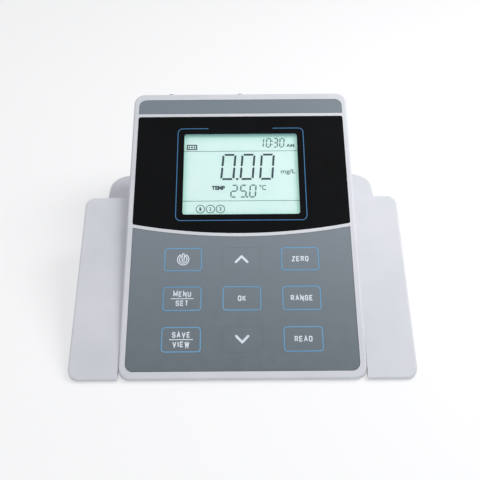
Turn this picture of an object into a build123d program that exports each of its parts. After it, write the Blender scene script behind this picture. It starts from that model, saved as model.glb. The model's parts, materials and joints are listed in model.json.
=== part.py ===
from build123d import *
import math
import os

os.makedirs("parts", exist_ok=True)

# Benchtop meter: a sloped console held between two low wings of its base.
# Millimetres. X runs across, Y from the user to the back, Z up from the table.
# The origin is at the middle of the footprint, on the table.
# On the face, u runs across from the middle and v up from the front edge.

# Base
base_gap = 1.3
base_front_corner = 8.0
base_rear_corner = 18.0
wall = 2.4
plate_thickness = 2.0
tail_reach = 5.92
tail_thickness = 3.7
tail_edge_round = 1.2

# Wings of the base
wing_width = 34.45
wing_lip = 1.7
wing_slope = 22.1
wing_length = 141.6
wing_corner = 7.0
wing_back_lean = 3.0
wing_edge_round = 1.5
wing_hollow = 17.0
wing_rib_count = 2
wing_rib = 1.8

# Console
face_tilt = 26.0
nose_height = 2.2
face_wall = 3.4
back_wall = 3.0
console_corner = 8.5
face_edge_round = 1.6

# Clearances
fit_gap = 0.25
slide_gap = 0.15
panel_sink = 0.2
screw_gap = 0.05

# Inlays of the face: a bar, the display panel and the keypad, with ribs between
rim_width = 4.1
rim_low = 4.8
rim_high = 5.7
rib_width = 2.45
strip_height = 13.2
strip_thickness = 0.6
strip_corner = 6.0
inlay_small_corner = 1.8
arc_radius = 435.0
display_thickness = 1.4
keypad_margin_low = 13.15
keypad_margin_high = 8.7
keypad_corner = 5.7
keypad_small_corner = 3.0
keypad_inset = 0.45

# Display
window_width = 88.5
window_height = 69.4
window_margin_low = 15.4
window_margin_high = 15.15
window_corner = 2.0
pane_margin = 1.6
pane_thickness = 1.2
glass_margin = 7.0
glass_thickness = 2.2
backlight_inset = 3.0
backlight_thickness = 4.0
holder_wall = 3.0
holder_ledge = 2.0
elastomer_margin = 5.2
elastomer_width = 1.8
elastomer_inset = 4.25

# Keys
key_width = 27.8
key_height = 18.1
key_corner = 2.7
key_gap_u = 14.8
key_gap_v = 11.3
key_thickness = 0.6
key_travel = 0.35
key_end_gap = 0.1
key_slit = 0.06
circuit_thickness = 0.5
dome_width = 8.6
dome_leg = 2.4
dome_height = 0.45
dome_slope = 78.0
tail_width = 16.0
tail_strip = 0.3
tail_clearance = 1.0
tail_drop = 5.2

# Boards
board_thickness = 1.6
board_drop = 13.0
board_lead = 34.0
board_edge = 6.0
board_gap = 3.3
post_radius = 3.2
post_gap = 6.55
post_low_inset = 10.0
post_high_inset = 7.0

# Parts on the boards, placed from the low or the high edge of the main board
chip_size = 14.0
chip_height = 1.6
chip_places = ((-16.0, 20.0), (22.0, 24.0))
driver_length = 10.0
driver_width = 6.0
driver_places = ((2.0, 22.0), (36.0, 10.0))
capacitor_radius = 4.0
capacitor_height = 9.0
capacitor_places = ((-10.0, 6.0), (0.0, 8.0), (10.0, 8.0))
buzzer_place = (48.0, 24.0)
buzzer_radius = 6.0
buzzer_height = 7.5
buzzer_hole = 1.0
buzzer_hole_depth = 3.75
cell_place = (-46.0, 26.0)
cell_radius = 10.0
cell_thickness = 3.2
cell_floor = 1.6
cell_rim = 2.0
relay_width = 10.0
relay_length = 20.0
relay_height = 9.0
relay_places = ((28.0, -28.0), (42.0, -28.0))
shield_place = (-35.0, -30.0)
shield_width = 50.0
shield_length = 36.0
shield_height = 6.0
shield_wall = 0.8
connector_wall = 1.5
connector_width = 4.5
connector_height = 4.0
ribbon_width = 24.0
ribbon_thickness = 0.8
ribbon_bend = 4.0
ribbon_run = 6.4
ribbon_drop = 6.5
ribbon_edge = 5.5

# Screws
screw_radius = 1.4
screw_head_radius = 2.8
screw_head_height = 1.6
small_screw_radius = 1.1
small_head_radius = 2.2
small_head_height = 1.4
screw_length = 12.0
small_screw_length = 6.0
cross_length = 2.6
small_cross_length = 2.2
cross_width = 0.6
cross_depth = 0.8
boss_radius = 4.2
boss_gap = 1.2
front_boss_offset = 62.0
rear_boss_inset = 25.35
wing_boss_offset = 52.0
wing_boss_inset = 15.2

# Feet
front_foot_radius = 4.4
front_foot_margin = 2.4
front_foot_inset = 8.3
front_foot_clearance = 0.55
nose_wall = 2.25
rear_foot_radius = 7.0
rear_foot_inset_x = 22.0
rear_foot_inset_y = 26.0
foot_sink = 0.6
foot_edge = 0.4

# Socket panel in the sloped back of the console
panel_margin_u = 10.3
panel_margin_high = 9.5
panel_margin_low = 3.5
panel_height = 23.0
panel_thickness = 1.6
panel_corner = 2.5
panel_lip = 4.0
panel_screw_inset = 2.2
socket_depth = 16.0
socket_board_inset = 9.0
socket_board_gap = 3.0
socket_edge = 17.5
reference_step = 12.7
temperature_step = 23.0
second_step = 21.8
data_step = 24.0
power_step = 26.0

# Coaxial sockets with a bayonet
bnc_radius = 4.85
bnc_reach = 11.0
bnc_bore_radius = 4.1
bnc_collar_radius = 6.2
bnc_collar_height = 3.2
bnc_flange_radius = 7.0
bnc_edge = 0.4
bnc_lug_radius = 1.0
bnc_lug_height = 0.75
bnc_lug_offset = 2.6
bnc_nut_flats = 14.0
bnc_nut_height = 2.2
bnc_core_floor = 2.8
bnc_core_radius = 2.5
bnc_core_height = 5.0
bnc_contact_radius = 1.1
bnc_contact_bore = 0.7
bnc_contact_depth = 5.0
bnc_contact_rise = 0.5

# Round jacks, data port and power inlet
jack_sleeve_radius = 5.2
jack_sleeve_reach = 10.2
jack_edge = 0.4
jack_shank_radius = 4.2
jack_bore_radius = 2.0
jack_bore_depth = 13.4
jack_liner = 0.7
jack_liner_sink = 0.6
phono_radius = 4.15
phono_flange_radius = 6.0
phono_reach = 7.5
phono_wall = 0.7
phono_core_sink = 0.5
phono_hole_radius = 1.6
phono_hole_depth = 6.0
usb_width = 12.0
usb_height = 10.9
port_reach = 0.6
usb_opening_cut = 2.0
usb_opening_width = 8.5
usb_opening_height = 7.8
usb_opening_depth = 11.0
usb_tongue_width = 5.6
usb_tongue_height = 3.2
usb_tongue_depth = 9.0
power_width = 9.0
power_height = 11.0
power_bore_radius = 3.15
power_bore_depth = 9.5
power_pin_radius = 1.0
power_pin_length = 8.5

# Across the console, from the display module out to its sides
module_half_width = window_width / 2 + glass_margin + holder_wall
board_post_u = module_half_width + post_gap + post_radius
board_half_width = board_post_u + board_edge
case_boss_x = board_half_width + board_gap + boss_radius
console_width = 2 * (case_boss_x + boss_radius + boss_gap + wall)
base_width = console_width + 2 * (fit_gap + wing_width)
inlay_half_width = console_width / 2 - rim_width
keypad_half_width = inlay_half_width - keypad_inset
wing_boss_x = base_width / 2 - wing_width / 2
front_foot_x = console_width / 2 - front_foot_inset
rear_foot_x = base_width / 2 - rear_foot_inset_x

# Up the face, from its front edge to its rear edge
keypad_low_v = rim_low
key_pitch_u = key_width + key_gap_u
key_pitch_v = key_height + key_gap_v
key_mid_v = keypad_low_v + keypad_margin_low + key_height / 2 + key_pitch_v
keypad_mid_v = key_mid_v + key_pitch_v + key_height / 2 + keypad_margin_high
display_mid_v = keypad_mid_v + rib_width
window_low_v = display_mid_v + window_margin_low
window_mid_v = window_low_v + window_height / 2
display_high_v = window_low_v + window_height + window_margin_high
strip_low_v = display_high_v + rib_width
strip_high_v = strip_low_v + strip_height
face_length = strip_high_v + rim_high
keypad_radius = arc_radius + rib_width

# Depths below the face
overlay_thickness = key_thickness + key_travel + key_end_gap + dome_height
strip_recess = strip_thickness + panel_sink
display_recess = display_thickness + panel_sink
keypad_recess = overlay_thickness + circuit_thickness + panel_sink
circuit_depth = panel_sink + overlay_thickness
board_depth = face_wall + board_drop
tail_depth = board_depth - connector_height
backlight_depth = face_wall + glass_thickness
back_height = panel_margin_high + panel_height + panel_margin_low
socket_row = panel_margin_high + panel_height / 2
ribbon_start = board_depth + board_thickness + connector_height
ribbon_depth = ribbon_start + ribbon_drop
socket_board_low = face_wall + socket_board_gap
socket_board_high = ribbon_depth + connector_width

# Boards, the flexible tail and the ribbon
tail_v = keypad_mid_v - tail_drop
elastomer_v = window_low_v - elastomer_margin
elastomer_length = window_width - 2 * elastomer_inset
ribbon_end = face_length - socket_depth - board_thickness - connector_height
ribbon_v = ribbon_end - ribbon_run
board_low_v = tail_v - board_lead
board_high_v = ribbon_v + ribbon_edge

# Footprint and the main planes
tilt = math.radians(face_tilt)
slope = math.radians(wing_slope)
console_depth = face_length * math.cos(tilt) + back_height * math.sin(tilt)
base_depth = console_depth + tail_reach
y_front = -base_depth / 2
console_back = y_front + console_depth
ridge_offset = wing_length * math.cos(slope)
plate_top = base_gap + plate_thickness
face_front_z = base_gap + nose_height
front_foot_offset = front_foot_margin + front_foot_radius
plate_offset = front_foot_offset + front_foot_radius + front_foot_clearance
plate_front = y_front + plate_offset
nose_length = plate_offset + nose_wall
rear_boss_offset = console_depth - rear_boss_inset
middle_boss_offset = (front_boss_offset + rear_boss_offset) / 2
face_plane = Plane(
    origin=(0, y_front, face_front_z),
    x_dir=(1, 0, 0),
    z_dir=(0, -math.sin(tilt), math.cos(tilt)),
)
back_plane = Plane(
    origin=face_plane.from_local_coords((0, face_length, 0)),
    x_dir=(1, 0, 0),
    z_dir=face_plane.y_dir,
)
side_plane = Plane(
    origin=face_plane.origin,
    x_dir=face_plane.y_dir,
    z_dir=(1, 0, 0),
)
under_board = Plane(
    origin=face_plane.from_local_coords((0, 0, -board_depth - board_thickness)),
    x_dir=(1, 0, 0),
    z_dir=-face_plane.z_dir,
)
face_axis = Axis(face_plane.origin, face_plane.z_dir)
back_axis = Axis(back_plane.origin, back_plane.z_dir)
wing_axis = Axis((0, y_front, 0), (0, -math.sin(slope), math.cos(slope)))

# Screws, feet and keys
case_bosses = [
    (side * case_boss_x, y_front + offset)
    for side in (-1, 1)
    for offset in (front_boss_offset, middle_boss_offset, rear_boss_offset)
]
wing_bosses = [
    (side * wing_boss_x, y_front + offset)
    for side in (-1, 1)
    for offset in (wing_boss_offset, ridge_offset - wing_boss_inset)
]
screw_seats = [
    Location((x, y, base_gap), (180, 0, 0)) for x, y in case_bosses + wing_bosses
]
board_posts = [
    (side * board_post_u, v)
    for side in (-1, 1)
    for v in (board_low_v + post_low_inset, board_high_v - post_high_inset)
]
front_feet = [(side * front_foot_x, y_front + front_foot_offset) for side in (-1, 1)]
rear_feet = [
    (side * rear_foot_x, y_front + base_depth - rear_foot_inset_y) for side in (-1, 1)
]
key_places = {
    "key_power": (-key_pitch_u, key_mid_v + key_pitch_v),
    "key_menu": (-key_pitch_u, key_mid_v),
    "key_memory": (-key_pitch_u, key_mid_v - key_pitch_v),
    "key_up": (0, key_mid_v + key_pitch_v),
    "key_ok": (0, key_mid_v),
    "key_down": (0, key_mid_v - key_pitch_v),
    "key_zero": (key_pitch_u, key_mid_v + key_pitch_v),
    "key_range": (key_pitch_u, key_mid_v),
    "key_read": (key_pitch_u, key_mid_v - key_pitch_v),
}

# Sockets, one after the other from the left end of their panel
panel_half_width = console_width / 2 - panel_margin_u
first_probe_x = socket_edge - panel_half_width
reference_x = first_probe_x + reference_step
temperature_x = reference_x + temperature_step
second_probe_x = temperature_x + second_step
usb_x = second_probe_x + data_step
power_x = usb_x + power_step
panel_screw_places = [
    (
        side * (panel_half_width - panel_screw_inset),
        socket_row + row * (panel_height / 2 - panel_screw_inset),
    )
    for side in (-1, 1)
    for row in (-1, 1)
]


def from_low_edge(places):
    """Places on the face side of the main board, told from its low edge."""
    return [(u, board_low_v + v) for u, v in places]


def from_high_edge(places):
    """Places on the back of the main board, told from its high edge."""
    return [(u, -board_high_v - v) for u, v in places]


def under_face(depth):
    """Plane parallel to the face, this far below it."""
    return face_plane.offset(-depth)


def behind_panel(depth):
    """Plane parallel to the sloped back, this far inside it."""
    return back_plane.offset(-depth)


def save(piece, label):
    """Label a finished piece and write its file."""
    piece.part.label = label
    export_step(piece.part, f"parts/{label}.step")


def console_solid(inset, front, roof, back, floor):
    """Console wedge: its walls moved in by the given amounts, corners rounded."""
    wall_y = console_back - back
    roof_v = (front - roof * math.sin(tilt)) / math.cos(tilt)
    back_v = face_length - back
    start = face_plane.from_local_coords((0, roof_v, -roof))
    top = face_plane.from_local_coords((0, back_v, -roof))
    knee_depth = (wall_y - y_front - back_v * math.cos(tilt)) / math.sin(tilt)
    knee = face_plane.from_local_coords((0, back_v, -knee_depth))
    with BuildPart() as solid:
        with BuildSketch(Plane.YZ):
            with BuildLine():
                Polyline(
                    (start.Y, floor),
                    (start.Y, start.Z),
                    (top.Y, top.Z),
                    (knee.Y, knee.Z),
                    (knee.Y, floor),
                    close=True,
                )
            make_face()
        extrude(amount=console_width / 2 - inset, both=True)
        corners = solid.edges().filter_by(Axis.Z) + solid.edges().filter_by(face_axis)
        fillet(corners, console_corner - inset)
    return solid.part


def wing_solid(inset, front, roof, back, floor):
    """Wing wedge across the full width, walls moved in by the given amounts."""
    start_z = base_gap + wing_lip + front * math.tan(slope) - roof / math.cos(slope)
    back_y = ridge_offset - back
    top_z = base_gap + wing_lip + back_y * math.tan(slope) - roof / math.cos(slope)
    with BuildPart() as solid:
        with BuildSketch(Plane.YZ):
            with BuildLine():
                Polyline(
                    (y_front + front, floor),
                    (y_front + front, start_z),
                    (y_front + back_y, top_z),
                    (y_front + back_y + wing_back_lean, floor),
                    close=True,
                )
            make_face()
        extrude(amount=base_width / 2 - inset, both=True)
    return solid.part


def strip_outline(plane, inset):
    """Bar above the display, rounder at its upper corners."""
    with BuildSketch(plane) as outline:
        with Locations((0, (strip_low_v + strip_high_v) / 2)):
            Rectangle(2 * inlay_half_width, strip_high_v - strip_low_v)
        rows = outline.vertices().group_by(Axis.Y)
        fillet(rows[-1], strip_corner)
        fillet(rows[0], inlay_small_corner)
        if inset:
            offset(amount=-inset)
    return outline.sketch


def arc_height(radius, middle_v, half_width):
    """Height at an inlay's side of an arc that sags to middle_v at the centre."""
    return middle_v + radius - math.sqrt(radius**2 - half_width**2)


def display_outline(plane, inset):
    """Display panel: straight sides and top, its lower edge a shallow arc."""
    side_v = arc_height(arc_radius, display_mid_v, inlay_half_width)
    with BuildSketch(plane) as outline:
        with BuildLine():
            ThreePointArc(
                (-inlay_half_width, side_v),
                (0, display_mid_v),
                (inlay_half_width, side_v),
            )
            Polyline(
                (inlay_half_width, side_v),
                (inlay_half_width, display_high_v),
                (-inlay_half_width, display_high_v),
                (-inlay_half_width, side_v),
            )
        make_face()
        fillet(outline.vertices(), inlay_small_corner)
        if inset:
            offset(amount=-inset)
    return outline.sketch


def keypad_outline(plane, inset):
    """Keypad: its upper edge follows the display's arc one rib below it."""
    side_v = arc_height(keypad_radius, keypad_mid_v, keypad_half_width)
    with BuildSketch(plane) as outline:
        with BuildLine():
            ThreePointArc(
                (-keypad_half_width, side_v),
                (0, keypad_mid_v),
                (keypad_half_width, side_v),
            )
            Polyline(
                (keypad_half_width, side_v),
                (keypad_half_width, keypad_low_v),
                (-keypad_half_width, keypad_low_v),
                (-keypad_half_width, side_v),
            )
        make_face()
        rows = outline.vertices().group_by(Axis.Y)
        fillet(rows[0], keypad_corner)
        fillet(rows[-1], keypad_small_corner)
        if inset:
            offset(amount=-inset)
    return outline.sketch


def window_outline(plane, margin, corner):
    """Rectangle round the display window, its corners rounded if asked."""
    with BuildSketch(plane) as outline:
        with Locations((0, window_mid_v)):
            Rectangle(window_width + 2 * margin, window_height + 2 * margin)
        if corner:
            fillet(outline.vertices(), corner)
    return outline.sketch


def key_outline(plane, place, margin):
    """Outline of one key, grown by a margin."""
    with BuildSketch(plane) as outline:
        with Locations(place):
            RectangleRounded(
                key_width + 2 * margin, key_height + 2 * margin, key_corner + margin
            )
    return outline.sketch


def socket_outline(plane, margin):
    """Outline of the socket panel, grown by a margin."""
    with BuildSketch(plane) as outline:
        with Locations((0, socket_row)):
            RectangleRounded(
                2 * (panel_half_width + margin),
                panel_height + 2 * margin,
                panel_corner,
            )
    return outline.sketch


def base_outline(height, inset, front):
    """Footprint of the base behind a line, with large rounded rear corners."""
    depth = y_front + base_depth - inset - front
    with BuildSketch(Plane.XY.offset(height)) as outline:
        with Locations((0, front + depth / 2)):
            Rectangle(base_width - 2 * inset, depth)
        fillet(outline.vertices().group_by(Axis.Y)[-1], base_rear_corner - inset)
    return outline.sketch


def sunk_blank(length, margin):
    """Cone and shank of a countersunk screw, head up, grown by a margin."""
    with BuildPart() as blank:
        with BuildSketch(Plane.XZ):
            with BuildLine():
                Polyline(
                    (0, 0),
                    (screw_head_radius + margin, 0),
                    (screw_radius + margin, -screw_head_height),
                    (screw_radius + margin, -length),
                    (0, -length),
                    close=True,
                )
            make_face()
        revolve(axis=Axis.Z)
    return blank.part


def sunk_screw(length):
    """Countersunk screw with a cross recess in its flat head."""
    with BuildPart() as screw:
        add(sunk_blank(length, 0))
        with BuildSketch(Plane.XY):
            Rectangle(cross_length, cross_width)
            Rectangle(cross_width, cross_length)
        extrude(amount=-cross_depth, mode=Mode.SUBTRACT)
    return screw.part


def pan_screw(length):
    """Small screw whose head stands above its seat."""
    with BuildPart() as screw:
        Cylinder(
            small_head_radius,
            small_head_height,
            align=(Align.CENTER, Align.CENTER, Align.MIN),
        )
        Cylinder(
            small_screw_radius,
            length,
            align=(Align.CENTER, Align.CENTER, Align.MAX),
        )
        with BuildSketch(Plane.XY.offset(small_head_height)):
            Rectangle(small_cross_length, cross_width)
            Rectangle(cross_width, small_cross_length)
        extrude(amount=-cross_depth, mode=Mode.SUBTRACT)
    return screw.part


# Upper case: hollow wedge with recesses for the inlays and openings for the sockets
with BuildPart() as console_cavity:
    add(console_solid(wall, nose_length, face_wall, back_wall, plate_top))
    with BuildSketch(Plane.XY.offset(plate_top)):
        with Locations(*case_bosses):
            Circle(boss_radius)
    extrude(amount=face_length, mode=Mode.SUBTRACT)
    with BuildSketch(under_face(face_wall)):
        with Locations(*board_posts):
            Circle(post_radius)
    extrude(amount=-board_drop, mode=Mode.SUBTRACT)

with BuildPart() as upper_case:
    add(console_solid(0, 0, 0, 0, base_gap))
    fillet(upper_case.faces().sort_by(face_axis)[-1].edges(), face_edge_round)
    add(console_cavity.part, mode=Mode.SUBTRACT)
    extrude(strip_outline(face_plane, 0), amount=-strip_recess, mode=Mode.SUBTRACT)
    extrude(display_outline(face_plane, 0), amount=-display_recess, mode=Mode.SUBTRACT)
    extrude(keypad_outline(face_plane, 0), amount=-keypad_recess, mode=Mode.SUBTRACT)
    aperture = window_outline(face_plane, pane_margin, window_corner)
    extrude(aperture, amount=-face_wall, mode=Mode.SUBTRACT)
    with BuildSketch(face_plane):
        with Locations((0, tail_v)):
            Rectangle(tail_width + 2 * tail_clearance, tail_strip + 2 * tail_clearance)
    extrude(amount=-face_wall, mode=Mode.SUBTRACT)
    extrude(
        socket_outline(back_plane, 0),
        amount=-panel_thickness,
        mode=Mode.SUBTRACT,
    )
    extrude(
        socket_outline(back_plane, -panel_lip),
        amount=-back_wall,
        mode=Mode.SUBTRACT,
    )
    with BuildSketch(Plane.XY.offset(plate_top)):
        with Locations(*case_bosses):
            Circle(screw_radius + screw_gap)
    extrude(amount=screw_length, mode=Mode.SUBTRACT)
    with BuildSketch(under_face(board_depth)):
        with Locations(*board_posts):
            Circle(small_screw_radius + screw_gap)
    extrude(amount=small_screw_length, mode=Mode.SUBTRACT)
    with BuildSketch(back_plane):
        with Locations(*panel_screw_places):
            Circle(small_screw_radius + screw_gap)
    extrude(amount=-back_wall, mode=Mode.SUBTRACT)
    with BuildSketch(Plane.XY.offset(base_gap)):
        with Locations((0, plate_front + base_depth / 2)):
            Rectangle(console_width, base_depth)
    extrude(amount=plate_thickness, mode=Mode.SUBTRACT)
    with BuildSketch(Plane.XY.offset(base_gap)):
        with Locations(*front_feet):
            Circle(front_foot_radius + slide_gap)
    extrude(amount=foot_sink, mode=Mode.SUBTRACT)
save(upper_case, "upper_case")

# Base: two hollow wings joined behind the console by a low tail
with BuildPart() as wing_cavity:
    add(wing_solid(wall, wing_hollow, wall, wall, plate_top))
    with BuildSketch(Plane.XY.offset(plate_top)):
        with Locations((0, 0)):
            Rectangle(console_width + 2 * (fit_gap + wall), 2 * base_depth)
    extrude(amount=base_width, mode=Mode.SUBTRACT)
    with BuildSketch(Plane.XY.offset(plate_top)):
        with Locations(*wing_bosses):
            Circle(boss_radius)
    extrude(amount=base_width, mode=Mode.SUBTRACT)
    rib_pitch = (ridge_offset - wing_hollow) / (wing_rib_count + 1)
    with BuildSketch(Plane.XY.offset(plate_top)):
        for rib in range(wing_rib_count):
            with Locations((0, y_front + wing_hollow + (rib + 1) * rib_pitch)):
                Rectangle(base_width, wing_rib)
    extrude(amount=base_width, mode=Mode.SUBTRACT)

with BuildPart() as base_tail:
    extrude(base_outline(base_gap, 0, y_front + ridge_offset / 2), amount=tail_thickness)
    fillet(base_tail.edges().group_by(Axis.Z)[-1], tail_edge_round)

with BuildPart() as base_housing:
    add(wing_solid(0, 0, 0, 0, base_gap))
    fillet(base_housing.edges().filter_by(Axis.Z), base_front_corner)
    wing_back = base_housing.faces().sort_by(Axis.Y)[-1]
    fillet(wing_back.edges().filter_by(Axis.X, reverse=True), wing_corner)
    fillet(base_housing.faces().sort_by(wing_axis)[-1].edges(), wing_edge_round)
    add(base_tail.part)
    add(wing_cavity.part, mode=Mode.SUBTRACT)
    with BuildSketch(Plane.XY):
        with Locations((0, (console_back + fit_gap) - base_depth)):
            Rectangle(console_width + 2 * fit_gap, 2 * base_depth)
        fillet(vertices().group_by(Axis.Y)[-1], console_corner + fit_gap)
    extrude(amount=base_width, mode=Mode.SUBTRACT)
    extrude(
        base_outline(base_gap, wall, plate_front),
        amount=plate_thickness,
        mode=Mode.SUBTRACT,
    )
    with BuildSketch(Plane.XY.offset(plate_top)):
        with Locations(*wing_bosses):
            Circle(screw_radius + screw_gap)
    extrude(amount=screw_length, mode=Mode.SUBTRACT)
save(base_housing, "base_housing")

# Bottom plate: closes the console and both wings, sunk flush inside their rims
with BuildPart() as bottom_plate:
    extrude(
        base_outline(base_gap, wall + fit_gap, plate_front + fit_gap),
        amount=plate_thickness,
    )
    with Locations(*screw_seats):
        add(
            sunk_blank(plate_thickness + fit_gap, slide_gap),
            mode=Mode.SUBTRACT,
        )
    with BuildSketch(Plane.XY.offset(base_gap)):
        with Locations(*rear_feet):
            Circle(rear_foot_radius + slide_gap)
    extrude(amount=foot_sink, mode=Mode.SUBTRACT)
save(bottom_plate, "bottom_plate")

with BuildPart() as case_screws:
    with Locations(*screw_seats):
        add(sunk_screw(screw_length))
save(case_screws, "case_screws")

with BuildPart() as rubber_feet:
    with BuildSketch(Plane.XY):
        with Locations(*front_feet):
            Circle(front_foot_radius)
        with Locations(*rear_feet):
            Circle(rear_foot_radius)
    extrude(amount=base_gap + foot_sink)
    chamfer(rubber_feet.edges().group_by(Axis.Z)[0], foot_edge)
save(rubber_feet, "rubber_feet")

# Inlays of the face
with BuildPart() as top_strip:
    extrude(strip_outline(under_face(panel_sink), fit_gap), amount=-strip_thickness)
save(top_strip, "top_strip")

with BuildPart() as display_panel:
    extrude(display_outline(under_face(panel_sink), fit_gap), amount=-display_thickness)
    opening = window_outline(under_face(panel_sink), 0, window_corner)
    extrude(opening, amount=-display_thickness, mode=Mode.SUBTRACT)
save(display_panel, "display_panel")

with BuildPart() as display_pane:
    pane = window_outline(
        under_face(display_recess), pane_margin - fit_gap, window_corner
    )
    extrude(pane, amount=-pane_thickness)
save(display_pane, "display_pane")

with BuildPart() as keypad_overlay:
    extrude(keypad_outline(under_face(panel_sink), fit_gap), amount=-overlay_thickness)
    for place in key_places.values():
        hole = key_outline(under_face(panel_sink), place, key_slit)
        extrude(hole, amount=-overlay_thickness, mode=Mode.SUBTRACT)
save(keypad_overlay, "keypad_overlay")

for name, place in key_places.items():
    with BuildPart() as key:
        extrude(key_outline(under_face(panel_sink), place, 0), amount=-key_thickness)
    save(key, name)

# Switch layer under the keys: flexible circuit with its tail, and the snap domes
with BuildPart() as key_circuit:
    extrude(keypad_outline(under_face(circuit_depth), fit_gap), amount=-circuit_thickness)
    with BuildSketch(under_face(circuit_depth + circuit_thickness)):
        with Locations((0, tail_v)):
            Rectangle(tail_width, tail_strip)
    extrude(amount=circuit_depth + circuit_thickness - tail_depth)
save(key_circuit, "key_circuit")

with BuildPart() as key_domes:
    with BuildSketch(under_face(circuit_depth)) as key_domes_outline:
        with Locations(*key_places.values()):
            Rectangle(dome_width, dome_width)
        chamfer(key_domes_outline.vertices(), dome_leg)
    extrude(amount=dome_height, taper=dome_slope)
save(key_domes, "key_domes")

# Display module: glass, backlight and their holder, joined to the board by a rubber strip
with BuildPart() as lcd_glass:
    extrude(
        window_outline(under_face(face_wall), glass_margin, 0),
        amount=-glass_thickness,
    )
save(lcd_glass, "lcd_glass")

with BuildPart() as lcd_backlight:
    extrude(
        window_outline(under_face(backlight_depth), backlight_inset, 0),
        amount=-backlight_thickness,
    )
save(lcd_backlight, "lcd_backlight")

with BuildPart() as lcd_holder:
    top = under_face(face_wall)
    extrude(
        window_outline(top, glass_margin + holder_wall, 0),
        amount=-board_drop,
    )
    extrude(
        window_outline(top, glass_margin + fit_gap, 0),
        amount=-glass_thickness,
        mode=Mode.SUBTRACT,
    )
    extrude(
        window_outline(top, backlight_inset + fit_gap, 0),
        amount=-(glass_thickness + backlight_thickness),
        mode=Mode.SUBTRACT,
    )
    extrude(
        window_outline(top, backlight_inset - holder_ledge, 0),
        amount=-board_drop,
        mode=Mode.SUBTRACT,
    )
    with BuildSketch(under_face(backlight_depth)):
        with Locations((0, elastomer_v)):
            Rectangle(elastomer_length + 2 * slide_gap, elastomer_width + 2 * slide_gap)
    extrude(amount=-board_drop, mode=Mode.SUBTRACT)
save(lcd_holder, "lcd_holder")

with BuildPart() as elastomer_strip:
    with BuildSketch(under_face(backlight_depth)):
        with Locations((0, elastomer_v)):
            Rectangle(elastomer_length, elastomer_width)
    extrude(amount=backlight_depth - board_depth)
save(elastomer_strip, "elastomer_strip")

# Main board on four posts under the face
with BuildPart() as main_board:
    with BuildSketch(under_face(board_depth)):
        with Locations((0, (board_low_v + board_high_v) / 2)):
            Rectangle(2 * board_half_width, board_high_v - board_low_v)
        with Locations(*board_posts):
            Circle(small_screw_radius + slide_gap, mode=Mode.SUBTRACT)
    extrude(amount=-board_thickness)
save(main_board, "main_board")

with BuildPart() as board_screws:
    with Locations(*[under_board.location * Location((u, -v, 0)) for u, v in board_posts]):
        add(pan_screw(small_screw_length))
save(board_screws, "board_screws")

with BuildPart() as board_chips:
    with BuildSketch(under_face(board_depth)):
        with Locations(*from_low_edge(chip_places)):
            Rectangle(chip_size, chip_size)
        with Locations(*from_low_edge(driver_places)):
            Rectangle(driver_length, driver_width)
    extrude(amount=chip_height)
save(board_chips, "board_chips")

with BuildPart() as board_capacitors:
    with BuildSketch(under_face(board_depth)):
        with Locations(*from_low_edge(capacitor_places)):
            Circle(capacitor_radius)
    extrude(amount=capacitor_height)
save(board_capacitors, "board_capacitors")

with BuildPart() as board_relays:
    with BuildSketch(under_board):
        with Locations(*from_high_edge(relay_places)):
            Rectangle(relay_width, relay_length)
    extrude(amount=relay_height)
save(board_relays, "board_relays")

with BuildPart() as buzzer:
    with BuildSketch(under_face(board_depth)):
        with Locations(*from_low_edge([buzzer_place])):
            Circle(buzzer_radius)
    extrude(amount=buzzer_height)
    with BuildSketch(under_face(board_depth - buzzer_height)):
        with Locations(*from_low_edge([buzzer_place])):
            Circle(buzzer_hole)
    extrude(amount=-buzzer_hole_depth, mode=Mode.SUBTRACT)
save(buzzer, "buzzer")

with BuildPart() as cell_holder:
    with BuildSketch(under_face(board_depth)):
        with Locations(*from_low_edge([cell_place])):
            Rectangle(2 * (cell_radius + cell_rim), 2 * (cell_radius + cell_rim))
    extrude(amount=cell_floor + cell_thickness)
    with BuildSketch(under_face(board_depth - cell_floor)):
        with Locations(*from_low_edge([cell_place])):
            Circle(cell_radius + slide_gap)
    extrude(amount=cell_thickness, mode=Mode.SUBTRACT)
save(cell_holder, "cell_holder")

with BuildPart() as coin_cell:
    with BuildSketch(under_face(board_depth - cell_floor)):
        with Locations(*from_low_edge([cell_place])):
            Circle(cell_radius)
    extrude(amount=cell_thickness)
save(coin_cell, "coin_cell")

with BuildPart() as input_shield:
    with BuildSketch(under_board):
        with Locations(*from_high_edge([shield_place])):
            Rectangle(shield_width, shield_length)
    extrude(amount=shield_height)
    with BuildSketch(under_board):
        with Locations(*from_high_edge([shield_place])):
            Rectangle(shield_width - 2 * shield_wall, shield_length - 2 * shield_wall)
    extrude(amount=shield_height - shield_wall, mode=Mode.SUBTRACT)
save(input_shield, "input_shield")

# Socket board, its ribbon and the connectors at both ends
with BuildPart() as socket_board:
    with BuildSketch(behind_panel(socket_depth)):
        with Locations((0, (socket_board_low + socket_board_high) / 2)):
            Rectangle(
                2 * (panel_half_width - socket_board_inset),
                socket_board_high - socket_board_low,
            )
    extrude(amount=-board_thickness)
save(socket_board, "socket_board")

with BuildPart() as board_connectors:
    with BuildSketch(under_face(board_depth)):
        with Locations((0, tail_v)):
            Rectangle(tail_width + 2 * connector_wall, connector_width)
    extrude(amount=connector_height)
    with BuildSketch(under_board):
        with Locations((0, -ribbon_v)):
            Rectangle(ribbon_width + 2 * connector_wall, connector_width)
    extrude(amount=connector_height)
    with BuildSketch(behind_panel(socket_depth + board_thickness)):
        with Locations((0, ribbon_depth)):
            Rectangle(ribbon_width + 2 * connector_wall, connector_width)
    extrude(amount=-connector_height)
save(board_connectors, "board_connectors")

with BuildPart() as ribbon:
    with BuildSketch(side_plane):
        with BuildLine():
            FilletPolyline(
                (ribbon_v, -ribbon_start),
                (ribbon_v, -ribbon_depth),
                (ribbon_end, -ribbon_depth),
                radius=ribbon_bend,
            )
        trace(line_width=ribbon_thickness)
    extrude(amount=ribbon_width / 2, both=True)
save(ribbon, "ribbon")

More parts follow.
